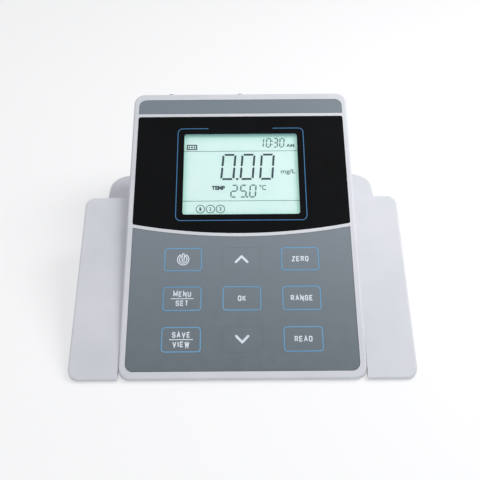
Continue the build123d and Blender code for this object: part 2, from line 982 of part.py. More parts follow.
# Socket panel and the sockets that it carries
with BuildPart() as socket_panel:
    extrude(socket_outline(back_plane, -fit_gap), amount=-panel_thickness)
    with BuildSketch(back_plane):
        with Locations((first_probe_x, socket_row), (second_probe_x, socket_row)):
            Circle(bnc_collar_radius + slide_gap)
        with Locations((reference_x, socket_row)):
            Circle(jack_shank_radius + slide_gap)
        with Locations((temperature_x, socket_row)):
            Circle(phono_radius + slide_gap)
        with Locations((usb_x, socket_row)):
            Rectangle(usb_width + 2 * slide_gap, usb_height + 2 * slide_gap)
        with Locations((power_x, socket_row)):
            Rectangle(power_width + 2 * slide_gap, power_height + 2 * slide_gap)
        with Locations(*panel_screw_places):
            Circle(small_screw_radius + slide_gap)
    extrude(amount=-panel_thickness, mode=Mode.SUBTRACT)
save(socket_panel, "socket_panel")

with BuildPart() as panel_screws:
    with Locations(*[back_plane.location * Location((x, h, 0)) for x, h in panel_screw_places]):
        add(pan_screw(back_wall + small_head_height))
save(panel_screws, "panel_screws")

for number, x in enumerate((first_probe_x, second_probe_x), start=1):
    place = (x, socket_row)

    # Bayonet shell: flange and thread through the panel, barrel with two lugs
    with BuildPart() as shell:
        with BuildSketch(back_plane.offset(-panel_thickness)):
            with Locations(place):
                Circle(bnc_flange_radius)
        extrude(amount=panel_thickness - socket_depth)
        with BuildSketch(back_plane.offset(-panel_thickness)):
            with Locations(place):
                Circle(bnc_collar_radius)
        extrude(amount=panel_thickness + bnc_collar_height)
        with BuildSketch(back_plane):
            with Locations(place):
                Circle(bnc_radius)
        extrude(amount=bnc_reach)
        chamfer(shell.edges().sort_by(back_axis)[-1], bnc_edge)
        with BuildSketch(side_plane.offset(x)):
            with Locations((face_length + bnc_reach - bnc_lug_offset, -socket_row)):
                Circle(bnc_lug_radius)
        extrude(amount=bnc_radius + bnc_lug_height, both=True)
        with BuildSketch(back_plane.offset(-socket_depth)):
            with Locations(place):
                Circle(bnc_bore_radius)
        extrude(amount=socket_depth + bnc_reach, mode=Mode.SUBTRACT)
    save(shell, f"probe_socket_{number}")

    with BuildPart() as nut:
        with BuildSketch(back_plane):
            with Locations(place):
                RegularPolygon(bnc_nut_flats / 2, 6, major_radius=False, rotation=30)
                Circle(bnc_collar_radius + screw_gap, mode=Mode.SUBTRACT)
        extrude(amount=bnc_nut_height)
    save(nut, f"probe_nut_{number}")

    # Insulating core: fills the shell up to its floor, then a slim nose
    with BuildPart() as core:
        with BuildSketch(back_plane.offset(-socket_depth)):
            with Locations(place):
                Circle(bnc_bore_radius - screw_gap)
        extrude(amount=socket_depth + bnc_core_floor)
        with BuildSketch(back_plane.offset(bnc_core_floor)):
            with Locations(place):
                Circle(bnc_core_radius)
        extrude(amount=bnc_core_height)
        with BuildSketch(back_plane.offset(-socket_depth)):
            with Locations(place):
                Circle(bnc_contact_radius + screw_gap)
        extrude(amount=socket_depth + bnc_core_floor + bnc_core_height, mode=Mode.SUBTRACT)
    save(core, f"probe_core_{number}")

    with BuildPart() as contact:
        contact_end = bnc_core_floor + bnc_core_height + bnc_contact_rise
        with BuildSketch(back_plane.offset(-socket_depth)):
            with Locations(place):
                Circle(bnc_contact_radius)
        extrude(amount=socket_depth + contact_end)
        with BuildSketch(back_plane.offset(contact_end)):
            with Locations(place):
                Circle(bnc_contact_bore)
        extrude(amount=-bnc_contact_depth, mode=Mode.SUBTRACT)
    save(contact, f"probe_contact_{number}")

# Reference jack: moulded sleeve and shank round a metal liner
with BuildPart() as reference_jack:
    with BuildSketch(back_plane):
        with Locations((reference_x, socket_row)):
            Circle(jack_sleeve_radius)
    extrude(amount=jack_sleeve_reach)
    chamfer(reference_jack.edges().sort_by(back_axis)[-1], jack_edge)
    with BuildSketch(back_plane):
        with Locations((reference_x, socket_row)):
            Circle(jack_shank_radius)
    extrude(amount=-socket_depth)
    with BuildSketch(back_plane.offset(jack_sleeve_reach)):
        with Locations((reference_x, socket_row)):
            Circle(jack_bore_radius + jack_liner + screw_gap)
    extrude(amount=-jack_sleeve_reach - socket_depth, mode=Mode.SUBTRACT)
save(reference_jack, "reference_jack")

with BuildPart() as reference_liner:
    with BuildSketch(back_plane.offset(jack_sleeve_reach - jack_liner_sink)):
        with Locations((reference_x, socket_row)):
            Circle(jack_bore_radius + jack_liner)
    extrude(amount=jack_liner_sink - jack_sleeve_reach - socket_depth)
    with BuildSketch(back_plane.offset(jack_sleeve_reach - jack_liner_sink)):
        with Locations((reference_x, socket_row)):
            Circle(jack_bore_radius)
    extrude(amount=-jack_bore_depth, mode=Mode.SUBTRACT)
save(reference_liner, "reference_liner")

# Temperature jack: flanged ring round an insulating core
with BuildPart() as temperature_jack:
    with BuildSketch(back_plane.offset(-panel_thickness)):
        with Locations((temperature_x, socket_row)):
            Circle(phono_flange_radius)
    extrude(amount=panel_thickness - socket_depth)
    with BuildSketch(back_plane.offset(-panel_thickness)):
        with Locations((temperature_x, socket_row)):
            Circle(phono_radius)
    extrude(amount=panel_thickness + phono_reach)
    with BuildSketch(back_plane.offset(phono_reach)):
        with Locations((temperature_x, socket_row)):
            Circle(phono_radius - phono_wall)
    extrude(amount=-phono_reach - socket_depth, mode=Mode.SUBTRACT)
save(temperature_jack, "temperature_jack")

with BuildPart() as temperature_core:
    with BuildSketch(back_plane.offset(phono_reach - phono_core_sink)):
        with Locations((temperature_x, socket_row)):
            Circle(phono_radius - phono_wall - screw_gap)
    extrude(amount=phono_core_sink - phono_reach - socket_depth)
    with BuildSketch(back_plane.offset(phono_reach - phono_core_sink)):
        with Locations((temperature_x, socket_row)):
            Circle(phono_hole_radius)
    extrude(amount=-phono_hole_depth, mode=Mode.SUBTRACT)
save(temperature_core, "temperature_core")

with BuildPart() as usb_port:
    with BuildSketch(back_plane.offset(port_reach)):
        with Locations((usb_x, socket_row)):
            Rectangle(usb_width, usb_height)
    extrude(amount=-port_reach - socket_depth)
    with BuildSketch(back_plane.offset(port_reach)) as usb_opening:
        with Locations((usb_x, socket_row)):
            Rectangle(usb_opening_width, usb_opening_height)
        chamfer(usb_opening.vertices().group_by(Axis.Y)[0], usb_opening_cut)
    extrude(amount=-usb_opening_depth, mode=Mode.SUBTRACT)
save(usb_port, "usb_port")

with BuildPart() as usb_tongue:
    with BuildSketch(back_plane.offset(port_reach - usb_opening_depth)):
        with Locations((usb_x, socket_row)):
            Rectangle(usb_tongue_width, usb_tongue_height)
    extrude(amount=usb_tongue_depth)
save(usb_tongue, "usb_tongue")

with BuildPart() as power_inlet:
    with BuildSketch(back_plane.offset(port_reach)):
        with Locations((power_x, socket_row)):
            Rectangle(power_width, power_height)
    extrude(amount=-port_reach - socket_depth)
    with BuildSketch(back_plane.offset(port_reach)):
        with Locations((power_x, socket_row)):
            Circle(power_bore_radius)
    extrude(amount=-power_bore_depth, mode=Mode.SUBTRACT)
save(power_inlet, "power_inlet")

with BuildPart() as power_pin:
    with BuildSketch(back_plane.offset(port_reach - power_bore_depth)):
        with Locations((power_x, socket_row)):
            Circle(power_pin_radius)
    extrude(amount=power_pin_length)
save(power_pin, "power_pin")
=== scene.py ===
import json
import math

import bmesh
import bpy
from mathutils import Matrix, Vector


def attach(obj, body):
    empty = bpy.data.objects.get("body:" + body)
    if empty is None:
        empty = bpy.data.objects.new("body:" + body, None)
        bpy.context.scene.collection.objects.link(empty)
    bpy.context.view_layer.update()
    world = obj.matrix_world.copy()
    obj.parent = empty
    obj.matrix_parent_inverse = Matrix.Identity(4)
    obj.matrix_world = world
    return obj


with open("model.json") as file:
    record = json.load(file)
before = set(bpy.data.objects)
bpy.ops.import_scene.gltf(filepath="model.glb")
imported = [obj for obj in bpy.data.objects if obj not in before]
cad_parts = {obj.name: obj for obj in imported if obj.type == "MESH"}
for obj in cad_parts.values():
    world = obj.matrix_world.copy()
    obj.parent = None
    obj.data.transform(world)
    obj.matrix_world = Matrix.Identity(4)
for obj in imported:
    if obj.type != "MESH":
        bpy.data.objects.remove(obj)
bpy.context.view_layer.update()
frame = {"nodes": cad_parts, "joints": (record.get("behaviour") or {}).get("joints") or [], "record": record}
nodes = frame["nodes"]

# Units: the scene is in metres, printed graphics and grain are written in millimetres
MM = 0.001

# Axes of the sloping face: across it, up it and out of it
ACROSS = Vector((1, 0, 0))
OUT = -Vector(frame["joints"][0]["axis"]).normalized()
UP = OUT.cross(ACROSS)

# Camera, fitted to the edges of the console and the wings in the photograph
PHOTO_SIZE = 480
FOCAL_PIXELS = 620.0
SENSOR = 36.0
CAMERA_PLACE = Vector((-0.000781, -0.355, 0.360767))
CAMERA_PITCH = math.radians(43.2904)
CAMERA_YAW = math.radians(-0.0513)
CAMERA_ROLL = math.radians(-0.4639)
CAMERA_NEAREST = 0.01

# Stage: floor, room light and lamps, each lamp with its place, size, watts and colour
FLOOR_SIZE = 6.0
FLOOR_GLOW = 0.55
ROOM_COLOUR = (0.97, 0.98, 1.0, 1)
ROOM_STRENGTH = 0.62
WHITE = (1, 1, 1, 1)
LAMPS = {
    "ceiling_light": ((0.55, 0.15, 0.75), 0.5, 5.0, (1.0, 1.0, 1.0)),
    "window_light": ((0.5, -0.9, 1.2), 1.1, 1.0, (0.95, 0.98, 1.0)),
}
LAMPS_POINT_AT = Vector((0, 0, 0.04))

# Colours, as 8-bit sRGB
STRIP_GREY = (121, 131, 139)
STRIP_GREY_DARK = (114, 124, 131)
# Keypad film at its top, and at its bottom darkened with painted shade
KEYPAD_TOP_UNSHADED = (120, 129, 137)
KEYPAD_LOW_PAINTED_SHADE = (97, 107, 113)
DISPLAY_GREEN = (214, 229, 227)
DISPLAY_GREEN_DARK = (204, 226, 222)
DISPLAY_SHADE = (138, 180, 180)
DISPLAY_RIM = (176, 216, 204)
FLOOR_PALE = (246, 246, 247)
FLOOR_PALE_DARK = (242, 242, 244)

# Strength of the display's own light
DISPLAY_GLOW = 0.52

# How far the rim's green and the top's shade reach into the display
RIM_REACH = 7.0
TOP_RIM_REACH = 10.0
SHADE_REACH = 5.0

# Moulded, printed and rubber surfaces: grain is the size of the fine noise, height its depth; the lighter
# edge colour is partly rubbing and partly a painted highlight
PLASTICS = {
    "case_plastic": {
        "light": (212, 213, 219), "dark": (203, 205, 211), "edge_wear_and_highlight": (236, 237, 241),
        "rough": 0.42, "grain": 0.4, "height": 0.02, "specular": 0.45,
    },
    "display_plastic": {
        "light": (11, 12, 14), "dark": (8, 9, 10),
        "rough": 0.22, "grain": 2.0, "height": 0.003, "specular": 0.06,
    },
    "circuit_film": {
        "light": (204, 160, 82), "dark": (188, 140, 66), "rough": 0.3, "grain": 1.0, "height": 0.005,
    },
    "light_guide": {
        "light": (238, 242, 242), "dark": (226, 232, 232), "rough": 0.3, "grain": 0.8, "height": 0.004,
    },
    "black_plastic": {
        "light": (40, 41, 44), "dark": (32, 33, 36), "edge_wear_and_highlight": (78, 79, 84),
        "rough": 0.5, "grain": 0.35, "height": 0.02, "specular": 0.4,
    },
    "elastomer": {
        "light": (204, 150, 160), "dark": (190, 138, 148), "rough": 0.6, "grain": 0.6, "height": 0.02,
    },
    "circuit_board": {
        "light": (26, 92, 52), "dark": (18, 74, 42), "rough": 0.35, "grain": 1.2, "height": 0.01,
    },
    "relay_plastic": {
        "light": (232, 226, 206), "dark": (222, 214, 192), "rough": 0.35, "grain": 0.6, "height": 0.006,
    },
    "white_plastic": {
        "light": (226, 226, 220), "dark": (214, 214, 206), "rough": 0.45, "grain": 0.5, "height": 0.01,
    },
    "ribbon_grey": {
        "light": (142, 146, 150), "dark": (126, 130, 134), "rough": 0.45, "grain": 1.0, "height": 0.02,
    },
    "foot_rubber": {
        "light": (34, 34, 35), "dark": (26, 26, 27),
        "rough": 0.75, "grain": 0.5, "height": 0.04, "specular": 0.3,
    },
    "insulator": {
        "light": (240, 240, 234), "dark": (228, 228, 222), "rough": 0.4, "grain": 0.6, "height": 0.005,
    },
    "ink_white": {
        "light": (228, 233, 242), "dark": (214, 220, 231),
        "rough": 0.55, "grain": 0.25, "height": 0.01, "specular": 0.3,
    },
    "ink_blue": {
        "light": (112, 163, 200), "dark": (100, 150, 188),
        "rough": 0.5, "grain": 0.25, "height": 0.01, "specular": 0.3,
    },
    "ink_frame": {
        "light": (54, 114, 160), "dark": (64, 112, 160),
        "rough": 0.4, "grain": 0.25, "height": 0.01, "specular": 0.3,
    },
    "ink_display": {
        "light": (48, 68, 82), "dark": (56, 78, 94),
        "rough": 0.5, "grain": 0.4, "height": 0.004, "specular": 0.2,
    },
    "ink_display_soft": {
        "light": (104, 136, 140), "dark": (96, 128, 132),
        "rough": 0.5, "grain": 0.4, "height": 0.004, "specular": 0.2,
    },
}
METALS = {
    "spring_steel": {"light": (196, 196, 190), "dark": (176, 176, 172), "rough": 0.22},
    "capacitor_can": {"light": (196, 198, 202), "dark": (176, 178, 182), "rough": 0.3},
    "cell_steel": {"light": (204, 204, 206), "dark": (184, 184, 186), "rough": 0.25},
    "tinned_steel": {
        "light": (190, 190, 188), "dark": (166, 166, 164), "rough": 0.34, "stretch": (1, 1, 12),
    },
    "screw_steel": {"light": (170, 170, 172), "dark": (148, 148, 150), "rough": 0.32},
    "socket_nickel": {"light": (138, 137, 135), "dark": (116, 115, 113), "rough": 0.28},
    "contact_gold": {"light": (222, 176, 84), "dark": (204, 156, 66), "rough": 0.22},
}

# Ink lies this thick on the surface that carries it, and reaches this far into it
INK_THICK = 0.03
INK_SINK = 0.005

# Steps of a quarter circle in a box with round corners
CORNER_STEPS = 6

# Printed outline of a key
KEY_LINE_WIDTH = 26.9
KEY_LINE_HEIGHT = 17.2
KEY_LINE_CORNER = 2.3
KEY_LINE = 0.8

# Words on the keys, drawn with one line width
LEGEND_HEIGHT = 4.0
LEGEND_LETTER = 1.75
LEGEND_SPACE = 0.72
LEGEND_LINE = 0.76
LEGEND_ROUND = 0.55
LEGEND_LIFT = 3.35
LEGEND_RULE = 16.4
LEGEND_RULE_LINE = 0.6
LETTER_WIDTHS = {"M": 1.3, "W": 1.5, "I": 0.1, "A": 1.15, "V": 1.15}

# Arrow heads of the up and down keys
CHEVRON_HALF = 4.15
CHEVRON_RISE = 4.3
CHEVRON_LINE = 1.7

# Mark of the power key: a broken ring and a bar, both drawn as outlines
POWER_OUTER = 4.15
POWER_INNER = 2.75
POWER_OPENING = 32.0
POWER_BAR_HALF = 0.75
POWER_BAR_TOP = 4.5
POWER_BAR_LOW = 0.2
POWER_LINE = 0.7

# Blue line round the display, broken in the middle of its top; places are from the window's middle
FRAME_HALF = 49.2
FRAME_HIGH = 38.9
FRAME_LOW = -39.6
FRAME_GAP_HALF = 25.4
FRAME_CORNER = 3.7
FRAME_LINE = 0.62

# Seven-segment figures; the gap and the cuts at a segment's ends are shares of its width
SEGMENTS = {"0": "abcdef", "1": "bc", "2": "abdeg", "3": "abcdg", "5": "acdfg"}
DIGIT_LEAN = 0.084
SEGMENT_GAP = 0.22
SEGMENT_CUT = 0.65
SEGMENT_NOSE = 0.35
SEGMENT_SHOULDER = (0.26, 0.52)

# What the display shows; places are from the window's middle, a size is width, height and line
READING_ROW = 6.6
READING_PLACES = (("0", -9.68), ("0", 5.2), ("0", 20.3))
READING_SIZE = (9.3, 21.0, 1.65)
READING_DOT = ((-2.95, -3.95), 1.7)
TEMPERATURE_ROW = -14.2
TEMPERATURE_PLACES = (("2", -5.35), ("5", 1.8), ("0", 9.0))
TEMPERATURE_SIZE = (4.3, 9.9, 1.1)
TEMPERATURE_DOT = ((4.75, -19.25), 1.3)
CLOCK_ROW = 27.6
CLOCK_PLACES = (("1", 16.4), ("0", 22.0), ("3", 27.5), ("0", 32.5))
CLOCK_SIZE = (3.1, 7.6, 0.95)
CLOCK_COLON = (((24.9, 29.05), 1.0), ((24.65, 26.05), 1.0))
RULE_ROWS = (20.35, -22.35)
RULE_LINE = 0.45
RING_ROW = -29.0
RING_PLACES = (("1", -30.9), ("2", -23.3), ("3", -15.75))
RING_RADIUS = 3.2
RING_LINE = 0.65
RING_STEPS = 28
RING_FIGURE = (1.6, 3.0)
RING_FIGURE_WEIGHT = 0.03
ICON_MIDDLE = (-38.35, 23.95)
ICON_SIZE = (7.4, 3.8)
ICON_LINE = 0.95
ICON_BARS = (-2.0, 0.0, 2.0)
ICON_BAR_HALF = 0.6
ICON_BAR_HEIGHT = 1.7

# Words on the display: the box they fill, its middle, and how far the font is thickened
SOFT_WORDS = (
    ("°C", (5.2, 4.6), (16.7, -11.2), 0.02),
    ("mg/L", (11.5, 4.9), (36.6, 1.9), 0.02),
    ("AM", (6.4, 2.8), (39.0, 25.1), 0.04),
)
DARK_WORDS = (("TEMP", (10.2, 3.5), (-17.4, -11.4), 0.06),)


def linear(value):
    """One 8-bit sRGB channel as a linear value."""
    part = value / 255
    return part / 12.92 if part <= 0.04045 else ((part + 0.055) / 1.055) ** 2.4


def rgba(colour):
    return (*[linear(v) for v in colour], 1.0)


def face_box(name):
    """Lowest and highest coordinate of a node across, up and out of the face."""
    points = [vertex.co for vertex in nodes[name].data.vertices]
    spans = [[point.dot(axis) for point in points] for axis in (ACROSS, UP, OUT)]
    return [(min(span), max(span)) for span in spans]


def face_place(across, up, out):
    """Matrix from a flat drawing, in millimetres, to its place on the face."""
    origin = ACROSS * across + UP * up + OUT * out
    turn = Matrix((ACROSS, UP, OUT)).transposed().to_4x4()
    return Matrix.Translation(origin) @ turn @ Matrix.Scale(MM, 4)


def centre_of(name):
    """Middle of a node on the face, and the level of its outer surface."""
    across, up, out = face_box(name)
    return (across[0] + across[1]) / 2, (up[0] + up[1]) / 2, out[1]


# Parts of the node materials
def new_material(name):
    made = bpy.data.materials.new(name)
    made.use_nodes = True
    tree = made.node_tree
    shader = tree.nodes["Principled BSDF"]
    return made, tree, shader


def coordinates(tree):
    return tree.nodes.new("ShaderNodeTexCoord").outputs["Object"]


def noise(tree, size, detail, roughness=0.5, stretch=(1, 1, 1)):
    """Noise whose features measure about `size` millimetres."""
    mapping = tree.nodes.new("ShaderNodeMapping")
    mapping.inputs["Scale"].default_value = [1 / (size * MM * part) for part in stretch]
    texture = tree.nodes.new("ShaderNodeTexNoise")
    texture.inputs["Scale"].default_value = 1.0
    texture.inputs["Detail"].default_value = detail
    texture.inputs["Roughness"].default_value = roughness
    tree.links.new(coordinates(tree), mapping.inputs["Vector"])
    tree.links.new(mapping.outputs["Vector"], texture.inputs["Vector"])
    return texture.outputs["Fac"]


def map_range(tree, value, start, end, low=0.0, high=1.0):
    """Map the values from start to end to the range from low to high."""
    node = tree.nodes.new("ShaderNodeMapRange")
    node.inputs["From Min"].default_value = start
    node.inputs["From Max"].default_value = end
    node.inputs["To Min"].default_value = low
    node.inputs["To Max"].default_value = high
    tree.links.new(value, node.inputs["Value"])
    return node


def remap(tree, value, low, high):
    """Stretch the middle of a noise to the range from low to high."""
    return map_range(tree, value, 0.3, 0.7, low, high).outputs["Result"]


def along_axis(tree, axis):
    """Coordinate of a point along an axis of the object."""
    along = tree.nodes.new("ShaderNodeVectorMath")
    along.operation = "DOT_PRODUCT"
    along.inputs[1].default_value = axis
    tree.links.new(coordinates(tree), along.inputs[0])
    return along.outputs["Value"]


def beside_edge(tree, axis, edge, reach):
    """1 at a plane across an axis, falling to 0 at the given distance inside it."""
    fall = map_range(tree, along_axis(tree, axis), edge - reach * MM, edge)
    fall.interpolation_type = "SMOOTHSTEP"
    return fall.outputs["Result"]


def edge_mask(tree, radius):
    """Grows towards 1 on edges sharper than the radius."""
    bevel = tree.nodes.new("ShaderNodeBevel")
    bevel.samples = 4
    bevel.inputs["Radius"].default_value = radius * MM
    geometry = tree.nodes.new("ShaderNodeNewGeometry")
    agreement = tree.nodes.new("ShaderNodeVectorMath")
    agreement.operation = "DOT_PRODUCT"
    tree.links.new(bevel.outputs["Normal"], agreement.inputs[0])
    tree.links.new(geometry.outputs["Normal"], agreement.inputs[1])
    return map_range(tree, agreement.outputs["Value"], 1.0, 0.75).outputs["Result"]


def math_node(tree, operation, first, second):
    """Result of an operation on a socket and on a second socket or a number."""
    node = tree.nodes.new("ShaderNodeMath")
    node.operation = operation
    tree.links.new(first, node.inputs[0])
    if isinstance(second, float):
        node.inputs[1].default_value = second
    else:
        tree.links.new(second, node.inputs[1])
    return node.outputs["Value"]


def blend_colours(tree, factor, first, second):
    node = tree.nodes.new("ShaderNodeMix")
    node.data_type = "RGBA"
    tree.links.new(factor, node.inputs["Factor"])
    for socket, colour in (("A", first), ("B", second)):
        slot = [s for s in node.inputs if s.name == socket and s.type == "RGBA"][0]
        if isinstance(colour, tuple):
            slot.default_value = rgba(colour)
        else:
            tree.links.new(colour, slot)
    return [s for s in node.outputs if s.type == "RGBA"][0]


def blend_shaders(tree, factor, first, second, output):
    """Send the output the first shader where the factor is 0, the second where it is 1."""
    mix = tree.nodes.new("ShaderNodeMixShader")
    tree.links.new(factor, mix.inputs["Fac"])
    tree.links.new(first, mix.inputs[1])
    tree.links.new(second, mix.inputs[2])
    tree.links.new(mix.outputs["Shader"], output.inputs["Surface"])


def add_bump(tree, shader, layers):
    """Chain of bumps, each a noise, its height in millimetres and its strength."""
    normal = None
    for height_map, height, strength in layers:
        bump = tree.nodes.new("ShaderNodeBump")
        bump.inputs["Strength"].default_value = strength
        bump.inputs["Distance"].default_value = height * MM
        tree.links.new(height_map, bump.inputs["Height"])
        if normal is not None:
            tree.links.new(normal, bump.inputs["Normal"])
        normal = bump.outputs["Normal"]
    tree.links.new(normal, shader.inputs["Normal"])


# Whole materials
def plastic(name, light, dark, rough, grain, height, specular=0.5, edge_wear_and_highlight=None):
    """Moulded plastic: cloudy colour, fine grain, edges lightened partly by rubbing and partly by a painted
    highlight.
    """
    made, tree, shader = new_material(name)
    cloud = remap(tree, noise(tree, size=38.0, detail=3.0), 0.0, 1.0)
    colour = blend_colours(tree, cloud, light, dark)
    if edge_wear_and_highlight is not None:
        # Lighter edges: partly rubbed wear, partly a painted highlight along the rims
        speckle = remap(tree, noise(tree, size=1.6, detail=3.0, roughness=0.7), 0.25, 1.0)
        rubbed_and_highlight = math_node(tree, "MULTIPLY", edge_mask(tree, radius=0.7), speckle)
        colour = blend_colours(tree, rubbed_and_highlight, colour, edge_wear_and_highlight)
    tree.links.new(colour, shader.inputs["Base Color"])
    smear = remap(tree, noise(tree, size=14.0, detail=4.0, roughness=0.6), rough - 0.05, rough + 0.06)
    tree.links.new(smear, shader.inputs["Roughness"])
    shader.inputs["Specular IOR Level"].default_value = specular
    fine = noise(tree, size=grain, detail=2.0, roughness=0.6)
    wave = noise(tree, size=22.0, detail=1.0)
    add_bump(tree, shader, [(wave, 0.05, 0.3), (fine, height, 0.35)])
    return made


def metal(name, light, dark, rough, stretch=(1, 1, 1)):
    """Plated or brushed metal with faint streaks and stains."""
    made, tree, shader = new_material(name)
    stain = remap(tree, noise(tree, size=3.5, detail=4.0, roughness=0.65), 0.0, 1.0)
    tree.links.new(blend_colours(tree, stain, light, dark), shader.inputs["Base Color"])
    shader.inputs["Metallic"].default_value = 1.0
    streak = noise(tree, size=0.5, detail=3.0, roughness=0.6, stretch=stretch)
    tree.links.new(remap(tree, streak, rough - 0.06, rough + 0.1), shader.inputs["Roughness"])
    add_bump(tree, shader, [(streak, 0.004, 0.3)])
    return made


def keypad_film(name):
    """Printed film, with painted shade that darkens it from the top of the keypad to its bottom."""
    made, tree, shader = new_material(name)
    up_low, up_high = face_box("keypad_overlay")[1]
    # Painted shade: the film darkens from the top of the keypad to its bottom
    painted_shade_ramp = map_range(tree, along_axis(tree, UP), up_low, up_high)
    painted_shade_base = blend_colours(tree, painted_shade_ramp.outputs["Result"], KEYPAD_LOW_PAINTED_SHADE, KEYPAD_TOP_UNSHADED)
    cloud = remap(tree, noise(tree, size=9.0, detail=4.0, roughness=0.6), 0.0, 0.22)
    tree.links.new(blend_colours(tree, cloud, painted_shade_base, STRIP_GREY), shader.inputs["Base Color"])
    smear = remap(tree, noise(tree, size=6.0, detail=4.0, roughness=0.6), 0.42, 0.55)
    tree.links.new(smear, shader.inputs["Roughness"])
    shader.inputs["Specular IOR Level"].default_value = 0.35
    add_bump(tree, shader, [(noise(tree, size=0.3, detail=2.0, roughness=0.6), 0.01, 0.3)])
    return made


def brushed_film(name):
    """Satin film with a fine grain up the face."""
    made, tree, shader = new_material(name)
    brushing = {"detail": 4.0, "roughness": 0.6, "stretch": (0.03, 1, 1)}
    grain = remap(tree, noise(tree, size=0.9, **brushing), 0.0, 1.0)
    tree.links.new(blend_colours(tree, grain, STRIP_GREY, STRIP_GREY_DARK), shader.inputs["Base Color"])
    smear = remap(tree, noise(tree, size=12.0, detail=3.0, roughness=0.6), 0.4, 0.5)
    tree.links.new(smear, shader.inputs["Roughness"])
    shader.inputs["Specular IOR Level"].default_value = 0.3
    brushing["detail"] = 3.0
    add_bump(tree, shader, [(noise(tree, size=0.5, **brushing), 0.004, 0.3)])
    return made


def clear_pane(name):
    """Polished window: what lies behind shows, with a faint reflection."""
    made, tree, shader = new_material(name)
    tree.nodes.remove(shader)
    through = tree.nodes.new("ShaderNodeBsdfTransparent")
    through.inputs["Color"].default_value = (0.96, 0.985, 0.98, 1)
    gloss = tree.nodes.new("ShaderNodeBsdfGlossy")
    smear = remap(tree, noise(tree, size=9.0, detail=4.0, roughness=0.6), 0.04, 0.12)
    tree.links.new(smear, gloss.inputs["Roughness"])
    rim = tree.nodes.new("ShaderNodeFresnel")
    rim.inputs["IOR"].default_value = 1.3
    blend_shaders(tree, rim.outputs["Fac"], through.outputs["BSDF"], gloss.outputs["BSDF"],
                  tree.nodes["Material Output"])
    return made


def display_material(name):
    """Lit liquid crystal glass, greener at its sides and shaded under the window's top."""
    made, tree, shader = new_material(name)
    cloud = remap(tree, noise(tree, size=26.0, detail=3.0), 0.0, 1.0)
    colour = blend_colours(tree, cloud, DISPLAY_GREEN, DISPLAY_GREEN_DARK)
    pane_across, pane_up, _ = face_box("display_pane")
    for axis, edge, reach, tint in (
        (ACROSS, pane_across[1], RIM_REACH, DISPLAY_RIM),
        (-ACROSS, -pane_across[0], RIM_REACH, DISPLAY_RIM),
        (-UP, -pane_up[0], RIM_REACH, DISPLAY_RIM),
        (UP, pane_up[1], TOP_RIM_REACH, DISPLAY_RIM),
        (UP, pane_up[1], SHADE_REACH, DISPLAY_SHADE),
    ):
        colour = blend_colours(tree, beside_edge(tree, axis, edge, reach), colour, tint)
    tree.links.new(colour, shader.inputs["Base Color"])
    tree.links.new(colour, shader.inputs["Emission Color"])
    shader.inputs["Emission Strength"].default_value = DISPLAY_GLOW
    smear = remap(tree, noise(tree, size=5.0, detail=3.0, roughness=0.6), 0.25, 0.4)
    tree.links.new(smear, shader.inputs["Roughness"])
    shader.inputs["Specular IOR Level"].default_value = 0.3
    add_bump(tree, shader, [(noise(tree, size=0.4, detail=2.0, roughness=0.6), 0.004, 0.3)])
    return made


materials = {name: plastic(name, **look) for name, look in PLASTICS.items()}
materials.update({name: metal(name, **look) for name, look in METALS.items()})
for name, make in (
    ("strip_film", brushed_film), ("clear_plastic", clear_pane),
    ("keypad_film", keypad_film), ("lcd_glass", display_material),
):
    materials[name] = make(name)

for part in frame["record"]["subparts"]:
    shown = nodes[part["node"]]
    shown.data.materials.clear()
    shown.data.materials.append(materials[part["material_slot"]])


# Flat drawings: closed prisms of ink, drawn in millimetres and laid on a surface
def prism(bm, outline):
    """Closed prism over an outline."""
    low = [bm.verts.new((x, y, -INK_SINK)) for x, y in outline]
    high = [bm.verts.new((x, y, INK_THICK)) for x, y in outline]
    bm.faces.new(high)
    bm.faces.new(low[::-1])
    for i in range(len(outline)):
        after = (i + 1) % len(outline)
        bm.faces.new((low[i], low[after], high[after], high[i]))


def stroke(bm, points, width, closed=False):
    """Closed prism of constant width along the points, mitred at each."""
    points = [Vector(p) for p in points]
    count = len(points)
    rings = []
    for i, point in enumerate(points):
        ways = []
        if closed or i > 0:
            ways.append((point - points[i - 1]).normalized())
        if closed or i < count - 1:
            ways.append((points[(i + 1) % count] - point).normalized())
        tangent = sum(ways, Vector((0, 0))).normalized()
        side = Vector((-tangent.y, tangent.x))
        first = Vector((-ways[0].y, ways[0].x))
        reach = width / 2 / side.dot(first)
        left = point + side * reach
        right = point - side * reach
        rings.append([
            bm.verts.new((left.x, left.y, INK_THICK)),
            bm.verts.new((right.x, right.y, INK_THICK)),
            bm.verts.new((right.x, right.y, -INK_SINK)),
            bm.verts.new((left.x, left.y, -INK_SINK)),
        ])
    for i in range(count if closed else count - 1):
        here, there = rings[i], rings[(i + 1) % count]
        for j in range(4):
            after = (j + 1) % 4
            bm.faces.new((here[j], here[after], there[after], there[j]))
    if not closed:
        bm.faces.new(rings[0][::-1])
        bm.faces.new(rings[-1])


def arc(middle, radius, start, end, steps):
    """Points of an arc, its angles in degrees anticlockwise from the right."""
    turns = [math.radians(start + (end - start) * i / steps) for i in range(steps + 1)]
    return [(middle[0] + radius * math.cos(t), middle[1] + radius * math.sin(t)) for t in turns]


def rounded_box(left, low, right, high, corner):
    """Outline of a box with round corners, anticlockwise from its upper right corner."""
    points = []
    corners = ((right, high, 0), (left, high, 90), (left, low, 180), (right, low, 270))
    for x, y, start in corners:
        middle = (x - math.copysign(corner, x - (left + right) / 2),
                  y - math.copysign(corner, y - (low + high) / 2))
        points += arc(middle, corner, start, start + 90, CORNER_STEPS)
    return points


